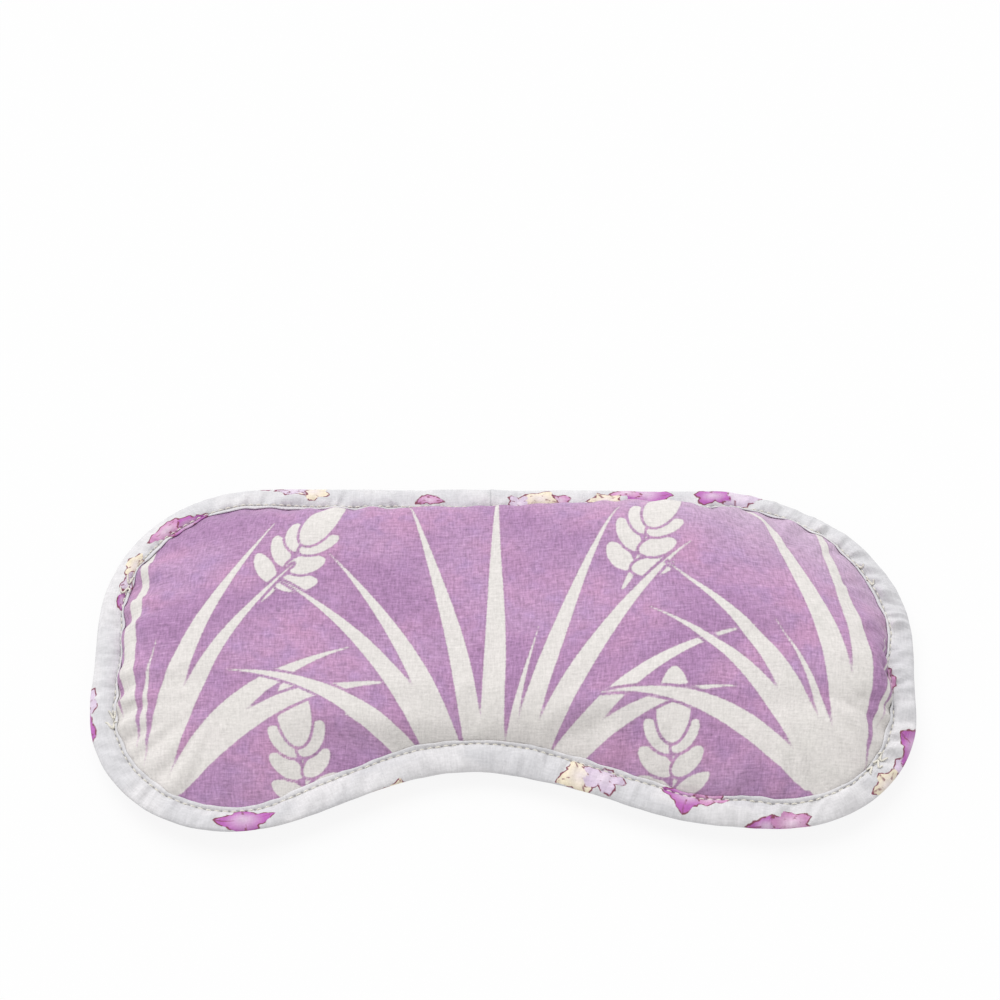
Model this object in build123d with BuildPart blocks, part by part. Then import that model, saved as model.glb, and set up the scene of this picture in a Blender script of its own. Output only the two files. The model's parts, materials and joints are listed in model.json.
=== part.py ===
from build123d import *
import os
from math import asin, atan2, cos, degrees, hypot, pi, sin

# Contoured eye pillow: two cotton covers held together by a sewn edge binding, round a muslin pouch
# of flaxseed and lavender buds. It lies on its back cover, as it is put down on a table.
#
# Frame: X along the length, Y across it with the nose notch towards -Y, Z up. The origin is at the
# middle of the resting face. All sizes are in millimetres.

# ---- Outline of the finished edge: circles joined by the straight runs that touch them both ----
# centre x, centre y, radius; the minus sign marks the nose notch, which curves inward
MASK_CIRCLES = [
    (-72.0, -17.0, 40.5),  # lower left lobe
    (-7.5, -94.5, -57.0),  # nose notch
    (61.0, 1.0, 57.0),  # underside of the right lobe
    (71.5, -17.0, 40.5),  # lower right lobe
    (62.0, 5.0, 52.0),  # upper right shoulder
    (-66.0, 9.5, 48.0),  # upper left shoulder
]

# ---- Heights ----
SEAM_Z = 7.0  # middle of the seam between the two covers
FRONT_RISE = 16.0  # filled front above the seam
BACK_DROP = 7.0  # filled back below the seam, down to the resting face
FRONT_CROWN = 14.0  # rounding from the front's side to its top
BACK_CROWN = 6.0  # rounding from the back's side to the resting face

# ---- Cloth ----
COTTON = 0.4  # cover cloth
MUSLIN = 0.25  # pouch cloth
PLY_GAP = 0.05  # air between two plies

# ---- Edge binding: a bias strip folded over the covers' raw edges ----
BINDING_WIDTH = 9.8  # from the outer fold to the inner hem
BINDING_LEG = 0.9  # each leg is two turned-in plies
BINDING_FOLD = 0.9  # strip and its turnings at the outer fold
BINDING_ROUND = 1.2  # rounding of the outer fold
RAW_EDGE_INSET = 1.0  # cut edge of the covers, inside the fold
LAP_LENGTH = 12.0  # end of the strip, turned under and lapped over its start
LAP_CENTRE_X = -4.0
LAP_WIDTH = 7.2  # the lap stops short of the stitch line
LAP_REACH = 200.0  # depth of the box that cuts the lap out, past the far edge
LAP_PLY = 0.5

# ---- Lockstitch along the binding ----
STITCH_INSET = 8.0
STITCH_PITCH = 2.2
STITCH_LENGTH = 1.6
THREAD_WIDTH = 0.4
THREAD_HEIGHT = 0.3

# ---- Hand tacks across the binding, at the two ends ----
TACK_LENGTH = 3.4
TACK_INSET = 5.2  # middle of a tack, outside the stitch line
# the outline's circle that a group sits on, and each tack's angle about its centre in degrees
HAND_TACKS = [
    (MASK_CIRCLES[3], (-42.0, -37.0, -33.0)),
    (MASK_CIRCLES[4], (24.0, 31.0)),
    (MASK_CIRCLES[5], (164.0, 170.0)),
    (MASK_CIRCLES[0], (187.0, 193.0)),
]

# ---- Inner pouch ----
DOME_INSET = 10.0  # foot of the filled covers, just inside the binding's hem
POUCH_CLEARANCE = 0.2  # air between the pouch and the covers
POUCH_SEAM_WIDTH = 4.0
POUCH_STITCH_PITCH = 2.5

# ---- Filling ----
FILL_CLEARANCE = 0.1
FILL_CROWN = 12.0
BUD_LENGTH = 5.0
BUD_WIDTH = 2.0
BUD_SIDES = 6  # the dried buds are ribbed
BUD_STEM_RADIUS = 0.4
BUD_TIP_RADIUS = 0.6
BUD_LIFT = 0.05  # air above and below a bud
BUD_SPACING = 7.0
BUD_ROWS, BUD_COLUMNS = 4, 16  # of the grid, each side of the middle; it reaches past the filling
BUD_TWIST = 137.5  # each bud is turned by this much more than the last

# ---- Worked out from the sizes above ----
PLY = COTTON + PLY_GAP / 2  # from the seam's middle to the far side of one cover
LEG_INNER = PLY + PLY_GAP
BINDING_HALF = LEG_INNER + BINDING_LEG
FRONT_TOP = SEAM_Z + FRONT_RISE
POUCH_FLANGE_INSET = DOME_INSET + COTTON + POUCH_CLEARANCE
POUCH_INSET = POUCH_FLANGE_INSET + POUCH_SEAM_WIDTH
POUCH_STITCH_INSET = POUCH_FLANGE_INSET + POUCH_SEAM_WIDTH / 2
POUCH_STITCH_FACE = PLY_GAP / 2 + MUSLIN  # from the seam's middle to the flange that the stitches lie on
POUCH_TOP = FRONT_TOP - COTTON - POUCH_CLEARANCE
POUCH_BOTTOM = COTTON + POUCH_CLEARANCE
FILL_INSET = POUCH_INSET + MUSLIN + FILL_CLEARANCE
BUD_LAYER = BUD_WIDTH + 2 * BUD_LIFT
FILL_TOP = POUCH_TOP - MUSLIN - BUD_LAYER
FILL_BOTTOM = POUCH_BOTTOM + MUSLIN + FILL_CLEARANCE


def run_heading(start, end):
    """Direction of the straight run that leaves circle start and touches circle end."""
    along_x = end[0] - start[0]
    along_y = end[1] - start[1]
    return atan2(along_y, along_x) - asin((end[2] - start[2]) / hypot(along_x, along_y))


def touch_point(circle, heading):
    """Where a run with this heading touches a circle on its left."""
    x, y, radius = circle
    return (x + radius * sin(heading), y - radius * cos(heading))


def mask_outline(grow):
    """The closed outline of the mask, moved outward by grow all round."""
    circles = [(x, y, radius + grow) for x, y, radius in MASK_CIRCLES]
    headings = [run_heading(circles[i - 1], circle) for i, circle in enumerate(circles)]
    with BuildLine() as outline:
        for i, circle in enumerate(circles):
            following = (i + 1) % len(circles)
            turn = (headings[following] - headings[i] + pi) % (2 * pi) - pi
            arc = ThreePointArc(
                touch_point(circle, headings[i]),
                touch_point(circle, headings[i] + turn / 2),
                touch_point(circle, headings[i] + turn),
            )
            Line(arc @ 1, touch_point(circles[following], headings[following]))
    return outline.line


def mask_face(grow, height):
    """A flat mask-shaped face at a height."""
    with BuildSketch(Plane.XY.offset(height)) as flat:
        make_face(mask_outline(grow).edges())
    return flat.sketch


def filled_side(inset, base, end, crown):
    """One filled side of the pillow, from its base plane to its end plane, with a rounded rim."""
    with BuildPart() as side:
        extrude(mask_face(-inset, base), amount=end - base)
        ends = side.faces().filter_by(Axis.Z).sort_by(Axis.Z)
        rim_face = ends[-1] if end > base else ends[0]
        fillet(rim_face.edges(), crown)
    return side.part


def seam_ring(outer_inset, inner_inset, base, thickness):
    """A flat band that follows the outline."""
    with BuildPart() as ring:
        extrude(mask_face(-outer_inset, base), amount=thickness)
        extrude(mask_face(-inner_inset, base), amount=thickness, mode=Mode.SUBTRACT)
    return ring.part


def lap_ply(base):
    """The lapped end of the binding strip on one side of the pillow."""
    with BuildPart() as ply:
        add(seam_ring(BINDING_ROUND, LAP_WIDTH, base, LAP_PLY))
        with Locations((LAP_CENTRE_X, 0, base)):
            Box(
                LAP_LENGTH,
                LAP_REACH,
                LAP_PLY,
                align=(Align.CENTER, Align.MIN, Align.MIN),
                mode=Mode.INTERSECT,
            )
    return ply.part


def stitch_places(inset, pitch):
    """Evenly spaced places along the outline, each turned to run along it."""
    seam = Wire(mask_outline(-inset).edges())
    count = round(seam.length / pitch)
    places = []
    for i in range(count):
        point = seam @ (i / count)
        heading = seam % (i / count)
        places.append(Location((point.X, point.Y, 0), (0, 0, degrees(atan2(heading.Y, heading.X)))))
    return places


def stitch_row(inset, pitch, base, height):
    """A row of thread stitches lying on a cloth face; a negative height lies under the face."""
    with BuildPart() as row:
        with BuildSketch(Plane.XY.offset(base)) as threads:
            with Locations(*stitch_places(inset, pitch)):
                SlotOverall(STITCH_LENGTH, THREAD_WIDTH)
        extrude(threads.sketch, amount=height)
    return row.part


def tack_places():
    """Places of the hand tacks, each turned to run across the binding."""
    places = []
    for (x, y, radius), angles in HAND_TACKS:
        for angle in angles:
            spoke = Vector(radius - TACK_INSET, 0).rotate(Axis.Z, angle)
            places.append(Location((x + spoke.X, y + spoke.Y, 0), (0, 0, angle)))
    return places


def bud_places():
    """A staggered grid of buds over the flat top of the filling, each turned its own way."""
    flat_top = mask_face(-FILL_INSET - FRONT_CROWN - BUD_LENGTH / 2, 0).face()
    places = []
    for row in range(-BUD_ROWS, BUD_ROWS + 1):
        for column in range(-BUD_COLUMNS, BUD_COLUMNS + 1):
            x = (column + (row % 2) / 2) * BUD_SPACING
            y = row * BUD_SPACING
            if flat_top.is_inside(Vector(x, y, 0)):
                places.append(Location((x, y, 0), (0, 0, BUD_TWIST * len(places))))
    return places


# ---- Covers: a filled dome of cotton with a flat flange that the binding grips ----
with BuildPart() as front_cover_panel:
    add(filled_side(DOME_INSET, SEAM_Z + PLY_GAP / 2, FRONT_TOP, FRONT_CROWN))
    extrude(mask_face(-RAW_EDGE_INSET, SEAM_Z + PLY_GAP / 2), amount=COTTON)
    add(
        filled_side(DOME_INSET + COTTON, SEAM_Z, FRONT_TOP - COTTON, FRONT_CROWN - COTTON),
        mode=Mode.SUBTRACT,
    )
front_cover_panel.part.label = "front_cover_panel"

with BuildPart() as back_cover_panel:
    add(filled_side(DOME_INSET, SEAM_Z - PLY_GAP / 2, 0, BACK_CROWN))
    extrude(mask_face(-RAW_EDGE_INSET, SEAM_Z - PLY_GAP / 2), amount=-COTTON)
    add(
        filled_side(DOME_INSET + COTTON, SEAM_Z, COTTON, BACK_CROWN - COTTON),
        mode=Mode.SUBTRACT,
    )
back_cover_panel.part.label = "back_cover_panel"

# ---- Binding: a U-shaped strip round both flanges, lapped at the middle of the top edge ----
with BuildPart() as edge_binding:
    extrude(mask_face(0, SEAM_Z - BINDING_HALF), amount=2 * BINDING_HALF)
    flat_faces = edge_binding.faces().filter_by(Axis.Z)
    fillet([flat_faces.sort_by(Axis.Z)[0].edges(), flat_faces.sort_by(Axis.Z)[-1].edges()], BINDING_ROUND)
    extrude(
        mask_face(-BINDING_WIDTH, SEAM_Z - BINDING_HALF),
        amount=2 * BINDING_HALF,
        mode=Mode.SUBTRACT,
    )
    extrude(
        mask_face(-BINDING_FOLD, SEAM_Z - LEG_INNER),
        amount=2 * LEG_INNER,
        mode=Mode.SUBTRACT,
    )
    add(lap_ply(SEAM_Z + BINDING_HALF))
    add(lap_ply(SEAM_Z - BINDING_HALF - LAP_PLY))
edge_binding.part.label = "edge_binding"

# ---- Threads ----
with BuildPart() as needle_thread_stitches:
    add(stitch_row(STITCH_INSET, STITCH_PITCH, SEAM_Z + BINDING_HALF, THREAD_HEIGHT))
needle_thread_stitches.part.label = "needle_thread_stitches"

with BuildPart() as bobbin_thread_stitches:
    add(stitch_row(STITCH_INSET, STITCH_PITCH, SEAM_Z - BINDING_HALF, -THREAD_HEIGHT))
bobbin_thread_stitches.part.label = "bobbin_thread_stitches"

with BuildPart() as hand_tack_stitches:
    with BuildSketch(Plane.XY.offset(SEAM_Z + BINDING_HALF)) as tacks:
        with Locations(*tack_places()):
            SlotOverall(TACK_LENGTH, THREAD_WIDTH)
    extrude(amount=THREAD_HEIGHT)
hand_tack_stitches.part.label = "hand_tack_stitches"

# ---- Inner pouch: two muslin panels seamed together, loose inside the covers ----
with BuildPart() as pouch_front_panel:
    add(filled_side(POUCH_INSET, SEAM_Z + PLY_GAP / 2, POUCH_TOP, FRONT_CROWN - COTTON))
    extrude(mask_face(-POUCH_FLANGE_INSET, SEAM_Z + PLY_GAP / 2), amount=MUSLIN)
    add(
        filled_side(POUCH_INSET + MUSLIN, SEAM_Z, POUCH_TOP - MUSLIN, FRONT_CROWN - COTTON - MUSLIN),
        mode=Mode.SUBTRACT,
    )
pouch_front_panel.part.label = "pouch_front_panel"

with BuildPart() as pouch_back_panel:
    add(filled_side(POUCH_INSET, SEAM_Z - PLY_GAP / 2, POUCH_BOTTOM, BACK_CROWN - COTTON))
    extrude(mask_face(-POUCH_FLANGE_INSET, SEAM_Z - PLY_GAP / 2), amount=-MUSLIN)
    add(
        filled_side(POUCH_INSET + MUSLIN, SEAM_Z, POUCH_BOTTOM + MUSLIN, BACK_CROWN - COTTON - MUSLIN),
        mode=Mode.SUBTRACT,
    )
pouch_back_panel.part.label = "pouch_back_panel"

with BuildPart() as pouch_seam_stitches:
    add(stitch_row(POUCH_STITCH_INSET, POUCH_STITCH_PITCH, SEAM_Z + POUCH_STITCH_FACE, THREAD_HEIGHT))
    add(stitch_row(POUCH_STITCH_INSET, POUCH_STITCH_PITCH, SEAM_Z - POUCH_STITCH_FACE, -THREAD_HEIGHT))
pouch_seam_stitches.part.label = "pouch_seam_stitches"

# ---- Filling: the seed fills the pouch, with a loose layer of buds on top of it ----
with BuildPart() as flaxseed_fill:
    add(filled_side(FILL_INSET, SEAM_Z, FILL_TOP, FILL_CROWN))
    add(filled_side(FILL_INSET, SEAM_Z, FILL_BOTTOM, BACK_CROWN - COTTON - MUSLIN))
flaxseed_fill.part.label = "flaxseed_fill"

with BuildPart() as one_bud:
    with BuildSketch(Plane.YZ.offset(-BUD_LENGTH / 2)):
        RegularPolygon(BUD_STEM_RADIUS, BUD_SIDES)
    with BuildSketch(Plane.YZ):
        RegularPolygon(BUD_WIDTH / 2, BUD_SIDES)
    with BuildSketch(Plane.YZ.offset(BUD_LENGTH / 2)):
        RegularPolygon(BUD_TIP_RADIUS, BUD_SIDES)
    loft(ruled=True)

with BuildPart(Plane.XY.offset(FILL_TOP + BUD_LIFT + BUD_WIDTH / 2)) as lavender_buds:
    with Locations(*bud_places()):
        add(one_bud.part)
lavender_buds.part.label = "lavender_buds"

os.makedirs("parts", exist_ok=True)
export_step(front_cover_panel.part, "parts/front_cover_panel.step")
export_step(back_cover_panel.part, "parts/back_cover_panel.step")
export_step(edge_binding.part, "parts/edge_binding.step")
export_step(needle_thread_stitches.part, "parts/needle_thread_stitches.step")
export_step(bobbin_thread_stitches.part, "parts/bobbin_thread_stitches.step")
export_step(hand_tack_stitches.part, "parts/hand_tack_stitches.step")
export_step(pouch_front_panel.part, "parts/pouch_front_panel.step")
export_step(pouch_back_panel.part, "parts/pouch_back_panel.step")
export_step(pouch_seam_stitches.part, "parts/pouch_seam_stitches.step")
export_step(flaxseed_fill.part, "parts/flaxseed_fill.step")
export_step(lavender_buds.part, "parts/lavender_buds.step")
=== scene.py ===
import json
import math
import random
import bpy
import numpy as np
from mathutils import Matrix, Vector, noise
from mathutils.bvhtree import BVHTree
from mathutils.kdtree import KDTree

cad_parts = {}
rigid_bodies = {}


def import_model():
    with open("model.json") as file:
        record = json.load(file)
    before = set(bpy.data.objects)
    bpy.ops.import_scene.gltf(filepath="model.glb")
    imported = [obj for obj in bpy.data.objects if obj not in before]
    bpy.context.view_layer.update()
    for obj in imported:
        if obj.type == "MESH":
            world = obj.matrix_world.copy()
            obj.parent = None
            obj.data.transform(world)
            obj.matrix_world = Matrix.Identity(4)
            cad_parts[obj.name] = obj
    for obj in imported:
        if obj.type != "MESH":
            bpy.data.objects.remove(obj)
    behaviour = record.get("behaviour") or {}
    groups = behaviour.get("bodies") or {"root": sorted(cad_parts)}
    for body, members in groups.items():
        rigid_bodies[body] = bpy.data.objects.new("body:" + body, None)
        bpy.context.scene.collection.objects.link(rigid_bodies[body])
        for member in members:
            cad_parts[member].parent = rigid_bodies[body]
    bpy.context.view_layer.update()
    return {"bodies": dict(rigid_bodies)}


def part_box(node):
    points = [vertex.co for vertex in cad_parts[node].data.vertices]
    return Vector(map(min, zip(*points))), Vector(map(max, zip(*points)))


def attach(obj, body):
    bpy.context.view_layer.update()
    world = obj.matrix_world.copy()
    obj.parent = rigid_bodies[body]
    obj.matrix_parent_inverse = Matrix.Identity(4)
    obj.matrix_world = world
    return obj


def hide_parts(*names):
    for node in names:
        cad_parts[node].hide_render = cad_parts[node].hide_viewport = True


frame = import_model()

# Lengths are in millimetres until a mesh is made; MM turns them into metres.
MM = 0.001
BODY = next(iter(frame["bodies"]))

# ---- Outline: circles joined by the straight runs that touch them both ----
# The CAD's outline, with the corners of the sewn pillow a little less even.
# centre x, centre y, radius; the minus sign marks the nose notch, which curves inward
MASK_CIRCLES = [
    (-72.0, -17.0, 40.5),
    (-7.5, -94.5, -57.0),
    (61.0, 1.0, 56.0),
    (73.0, -17.0, 39.3),
    (62.0, 5.0, 52.0),
    (-69.5, 13.7, 43.8),
]
STITCH_INSET = 7.4
SEAM_Z = (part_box("edge_binding")[0].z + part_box("edge_binding")[1].z) / 2 / MM

FLOOR_GAP = 0.02  # the resting cloth just clears the floor

# ---- Cover cloth ----
CELLS_LONG, CELLS_WIDE = 100, 46  # cells of the simulated cloth
FINE = 4  # each cell is cut this many times along each side for the finished cover
PATTERN_ROUNDS = 400  # evens out the cells of the flat pattern
CLOTH = 0.4
CORNER_NORMALS = (225, 315, 45, 135)  # where the four sides of the grid meet, by the outline's normal

# ---- Binding ----
BINDING_REACH = 7.4  # from the stitch line out to the fold
STITCH_PITCH = 2.2
STITCH_LENGTH = 1.5
THREAD = 0.36


# ---- Outline functions ----
def run_heading(start, end):
    """Direction of the straight run that leaves circle start and touches circle end."""
    along_x = end[0] - start[0]
    along_y = end[1] - start[1]
    return math.atan2(along_y, along_x) - math.asin((end[2] - start[2]) / math.hypot(along_x, along_y))


def outline_pieces(grow):
    """The outline's arcs and runs as (length, function of the share along it to x, y, heading)."""
    circles = [(x, y, radius + grow) for x, y, radius in MASK_CIRCLES]
    headings = [run_heading(circles[i - 1], circle) for i, circle in enumerate(circles)]
    pieces = []
    for i, circle in enumerate(circles):
        following = (i + 1) % len(circles)
        turn = (headings[following] - headings[i] + math.pi) % (2 * math.pi) - math.pi

        def arc(share, circle=circle, start=headings[i], turn=turn):
            heading = start + turn * share
            x, y, radius = circle
            return x + radius * math.sin(heading), y - radius * math.cos(heading), heading

        def run(share, arc=arc, end=circles[following], heading=headings[following]):
            x, y, _ = arc(1)
            end_x = end[0] + end[2] * math.sin(heading)
            end_y = end[1] - end[2] * math.cos(heading)
            return x + (end_x - x) * share, y + (end_y - y) * share, heading

        pieces.append((abs(circle[2] * turn), arc))
        pieces.append((math.dist(run(0)[:2], run(1)[:2]), run))
    return pieces


def along_outline(pieces, distance):
    """Place and heading at a distance along the outline."""
    distance %= sum(length for length, _ in pieces)
    for length, place in pieces:
        if distance <= length:
            return place(distance / length)
        distance -= length
    return pieces[-1][1](1)


def grid_sides(inset):
    """The four sides of the cover's grid, each as rows of x, y, heading: bottom, right, top, left."""
    pieces = outline_pieces(-inset)
    total = sum(length for length, _ in pieces)
    steps = np.arange(0, total, 0.05)
    headings = np.array([along_outline(pieces, step)[2] for step in steps])
    corners = []
    for normal in CORNER_NORMALS:
        miss = (headings - math.radians(normal + 90) + math.pi) % (2 * math.pi) - math.pi
        corners.append(steps[np.argmin(np.abs(miss))])
    sides = []
    for i, cells in enumerate((CELLS_LONG, CELLS_WIDE, CELLS_LONG, CELLS_WIDE)):
        length = (corners[(i + 1) % 4] - corners[i]) % total
        shares = np.arange(cells + 1) / cells
        sides.append(np.array([along_outline(pieces, corners[i] + length * s) for s in shares]))
    return sides


def coons(bottom, right, top, left):
    """A grid that fills four boundary rows, by straight blending between them."""
    top, left = top[::-1], left[::-1]
    u = np.linspace(0, 1, len(bottom))[:, None, None]
    v = np.linspace(0, 1, len(right))[None, :, None]
    ruled = (1 - v) * bottom[:, None] + v * top[:, None] + (1 - u) * left[None] + u * right[None]
    near_corners = (1 - u) * (1 - v) * bottom[0] + u * (1 - v) * bottom[-1]
    far_corners = (1 - u) * v * top[0] + u * v * top[-1]
    return ruled - near_corners - far_corners


def relax(grid, rounds, keep_edge=True):
    """Evens a grid out, each inner point moving to the mean of its neighbours."""
    grid = grid.copy()
    for _ in range(rounds):
        grid[1:-1, 1:-1] = (grid[:-2, 1:-1] + grid[2:, 1:-1] + grid[1:-1, :-2] + grid[1:-1, 2:]) / 4
        if not keep_edge:
            ring = ring_cells(grid.shape[:2])
            edge = grid[ring]
            grid[ring] = (np.roll(edge, 1, 0) + np.roll(edge, -1, 0) + 2 * edge) / 4
    return grid


def ring_cells(shape):
    """Rows and columns of a grid's edge points, in order round the outline."""
    long, wide = shape[0] - 1, shape[1] - 1  # a shape may have more axes than these two
    bottom = [(i, 0) for i in range(long)]
    right = [(long, j) for j in range(wide)]
    top = [(i, wide) for i in range(long, 0, -1)]
    left = [(0, j) for j in range(wide, 0, -1)]
    return tuple(np.array(bottom + right + top + left).T)


def sides_of(grid):
    """The four edge rows of a grid, in the order that coons takes."""
    return grid[:, 0], grid[-1, :], grid[::-1, -1], grid[0, ::-1]


# ---- Cloth simulation of the two covers, sewn at the stitch line, with the seam allowance outside ----
SIM_SCALE = 0.01  # simulated ten times larger than life, where Blender's cloth is steady
SIM_FRAMES = 12
SIM_SETTINGS = {
    "quality": 8,
    "mass": 0.3,
    "tension_stiffness": 15,
    "compression_stiffness": 15,
    "shear_stiffness": 5,
    "bending_stiffness": 2.0,
    "air_damping": 2,
    "use_pressure": True,
    "uniform_pressure_force": 3.0,
    "vertex_group_pressure": "pressure",
}
SIM_FLANGE = (2.7, 5.4, 8.0)
SIM_LIFT = 0.4


def pressure_share(x):
    """The right lobe holds more seed than the left."""
    return 0.85 + 0.15 * np.tanh(x / 30)


def simulate(flat, normals):
    """Inflates the flat pattern. Returns the front and back grids as simulated, in millimetres."""
    shape = flat.shape[:2]
    ring = ring_cells(shape)
    front = np.arange(shape[0] * shape[1]).reshape(shape)
    inner = np.zeros(shape, bool)
    inner[1:-1, 1:-1] = True
    back = front.copy()
    back[inner] = front.size + np.arange(inner.sum())
    lift = np.where(inner, SIM_LIFT, 0).reshape(-1, 1)
    points = [np.hstack([flat.reshape(-1, 2), lift])]
    points.append(np.hstack([flat[inner], np.full((inner.sum(), 1), -SIM_LIFT)]))
    covers = front.size + int(inner.sum())
    rings = [front[ring]]
    edge = flat[ring]
    for reach in SIM_FLANGE:
        rings.append(covers + len(edge) * (len(rings) - 1) + np.arange(len(edge)))
        points.append(np.hstack([edge + normals * reach, np.zeros((len(edge), 1))]))
    points = np.vstack(points)
    faces = [*quads(front), *quads(back)[:, ::-1]]
    for inside, outside in zip(rings, rings[1:]):
        faces.extend(np.stack([inside, outside, np.roll(outside, -1), np.roll(inside, -1)], 1))

    mesh = bpy.data.meshes.new("cloth_pattern")
    mesh.from_pydata((points * SIM_SCALE).tolist(), [], [face.tolist() for face in faces])
    cloth = bpy.data.objects.new("cloth_pattern", mesh)
    bpy.context.scene.collection.objects.link(cloth)
    group = cloth.vertex_groups.new(name="pressure")
    for index in [*front[inner], *back[inner]]:
        group.add([int(index)], float(pressure_share(points[index, 0])), "REPLACE")

    modifier = cloth.modifiers.new("cloth", "CLOTH")
    for name, value in SIM_SETTINGS.items():
        setattr(modifier.settings, name, value)
    modifier.settings.effector_weights.gravity = 0
    modifier.collision_settings.use_collision = False
    modifier.point_cache.frame_start = 1
    modifier.point_cache.frame_end = SIM_FRAMES
    for step in range(1, SIM_FRAMES + 1):
        bpy.context.scene.frame_set(step)
    solved = cloth.evaluated_get(bpy.context.evaluated_depsgraph_get()).data
    moved = np.empty(len(points) * 3)
    solved.vertices.foreach_get("co", moved)
    moved = moved.reshape(-1, 3) / SIM_SCALE
    bpy.data.objects.remove(cloth)
    bpy.data.meshes.remove(mesh)
    bpy.context.scene.frame_set(1)
    return moved[front], moved[back]


def quads(index):
    """Faces of a grid of vertex numbers, counter-clockwise seen from above."""
    corners = [index[:-1, :-1], index[1:, :-1], index[1:, 1:], index[:-1, 1:]]
    return np.stack([corner.ravel() for corner in corners], 1)


# ---- Finished shape of the covers ----
DETAIL_ROUNDS = 14  # how far the simulated folds are told apart from the overall shape
LEFT_RISE, MIDDLE_RISE, RIGHT_RISE = 13.0, 12.0, 15.0
# slack folds across the lobes: centre x, centre y, half length, depth
SLACK_FOLDS = [(66, -4, 24, 0.9), (80, -21, 16, 0.9), (58, 13, 20, 0.6), (-78, -14, 15, 0.5)]
SLACK_SLANT, SLACK_WIDTH = 0.12, 3.2
BACK_FLATNESS = 6.0  # the higher, the sharper the turn from the side to the resting face
SEAM_DROP = 0.7  # how much lower the seam lies than the CAD's
FOLD_Z = 5.4
NEAR_SIDE = (-15, -5)  # y at which the near side begins, and how gradually
BLEND_ROUNDS = 60  # evens out what is carried from the edge across the inside


def spline_weights(coarse, fine):
    """Cubic B-spline weights that turn coarse control points into fine points and keep both ends."""
    place = np.linspace(0, coarse - 1, fine)
    cell = np.minimum(place.astype(int), coarse - 2)
    f = place - cell
    basis = [(1 - f) ** 3, 3 * f**3 - 6 * f**2 + 4, -3 * f**3 + 3 * f**2 + 3 * f + 1, f**3]
    weights = np.zeros((fine, coarse + 2))
    for offset, share in enumerate(basis):
        weights[np.arange(fine), cell + offset] += share / 6
    weights[:, 1] += 2 * weights[:, 0]
    weights[:, 2] -= weights[:, 0]
    weights[:, -2] += 2 * weights[:, -1]
    weights[:, -3] -= weights[:, -1]
    return weights[:, 1:-1]


def refine(grid):
    """The smooth surface of a grid, FINE times as many cells each way."""
    by_long = spline_weights(grid.shape[0], (grid.shape[0] - 1) * FINE + 1)
    by_wide = spline_weights(grid.shape[1], (grid.shape[1] - 1) * FINE + 1)
    return np.einsum("ai,bj,ijk->abk", by_long, by_wide, grid)


def near(x, centre, width):
    """A smooth bump, 1 at the centre."""
    return np.exp(-(((x - centre) / width) ** 2))


def past(x, place, width):
    """A smooth step from 0 to 1, or from 1 to 0 where the width is negative."""
    return 1 / (1 + np.exp((place - x) / width))


def seam_height(x, y):
    """Height of the seam round the pillow: by the near edge, the left lobe sags and the right one lifts."""
    lobes = 1.6 * near(x, 76, 24) - 0.9 * near(x, -70, 26)
    wave = 0.25 * np.sin(x / 13 + 0.6) + 0.2 * np.sin(x / 7.3 + y / 9)
    return SEAM_Z - SEAM_DROP + lobes * past(y, *NEAR_SIDE) + wave


def edge_softness(x, y):
    """How far from the seam the filled front takes to rise: it starts low along the far side's left."""
    return 1.2 + 4.6 * near(x, -38, 56) * (y > 0)


def rise_share(x):
    """Height of the filled front above the seam, along the length."""
    left = (LEFT_RISE - MIDDLE_RISE) * past(x, -30, -9)
    return MIDDLE_RISE + left + (RIGHT_RISE - MIDDLE_RISE) * past(x, 22, 11)


def shape_covers(flat, front, back):
    """Fits the simulated covers to the sewn outline and lets them lie on the floor.

    Returns the front, the back, and the seam's height carried on across the inside.
    """
    ring = ring_cells(flat.shape[:2])
    shaped = []
    for grid in (front, back):
        smooth = relax(grid, DETAIL_ROUNDS, keep_edge=False)
        detail = grid - smooth
        calm = 0.45 * near(flat[..., 0], -7, 30)
        smooth = smooth + detail * (1 - calm)[..., None]
        pull = np.zeros_like(flat)
        edge = relax(grid, DETAIL_ROUNDS, keep_edge=False)[ring][:, :2]
        pull[ring] = flat[ring] - edge
        pull = relax(coons(*sides_of(pull)), BLEND_ROUNDS)
        smooth[..., :2] += pull
        shaped.append(smooth)
    front, back = shaped
    seam = np.zeros(flat.shape[:2])
    seam[ring] = seam_height(*flat[ring].T)
    seam = relax(coons(*[side[:, None] for side in sides_of(seam)]), BLEND_ROUNDS)[..., 0]
    full = np.percentile(front[..., 2], 98)
    to_seam = np.array([np.hypot(*(flat[ring] - place).T).min() for place in flat.reshape(-1, 2)])
    softness = edge_softness(*flat.reshape(-1, 2).T)
    start = 1 - np.exp(-((to_seam / softness) ** 2)).reshape(flat.shape[:2])
    rise = np.maximum(front[..., 2] / full, 0) * rise_share(flat[..., 0]) * start
    drop = np.maximum(-back[..., 2] / full, 0) * rise_share(flat[..., 0])
    share = drop / seam
    drop = seam * share / (1 + share**BACK_FLATNESS) ** (1 / BACK_FLATNESS)
    front[..., 2] = seam + rise
    back[..., 2] = seam - drop
    for x, y, length, depth in SLACK_FOLDS:
        across_fold = flat[..., 1] - SLACK_SLANT * (flat[..., 0] - x)
        dip = near(flat[..., 0], x, length) * near(across_fold, y, SLACK_WIDTH)
        front[..., 2] -= depth * dip * start
    edge = (front[ring] + back[ring]) / 2
    edge[:, 2] = seam[ring]
    front[ring] = back[ring] = edge
    return front, back, seam


# ---- Mesh helpers ----
def unit(vectors):
    """The vectors, each made one long."""
    return vectors / np.maximum(np.linalg.norm(vectors, axis=-1, keepdims=True), 1e-9)


def normals_of(grid):
    """Unit normals of a grid, upward for a grid seen from above."""
    return unit(np.cross(np.gradient(grid, axis=0), np.gradient(grid, axis=1)))


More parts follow.
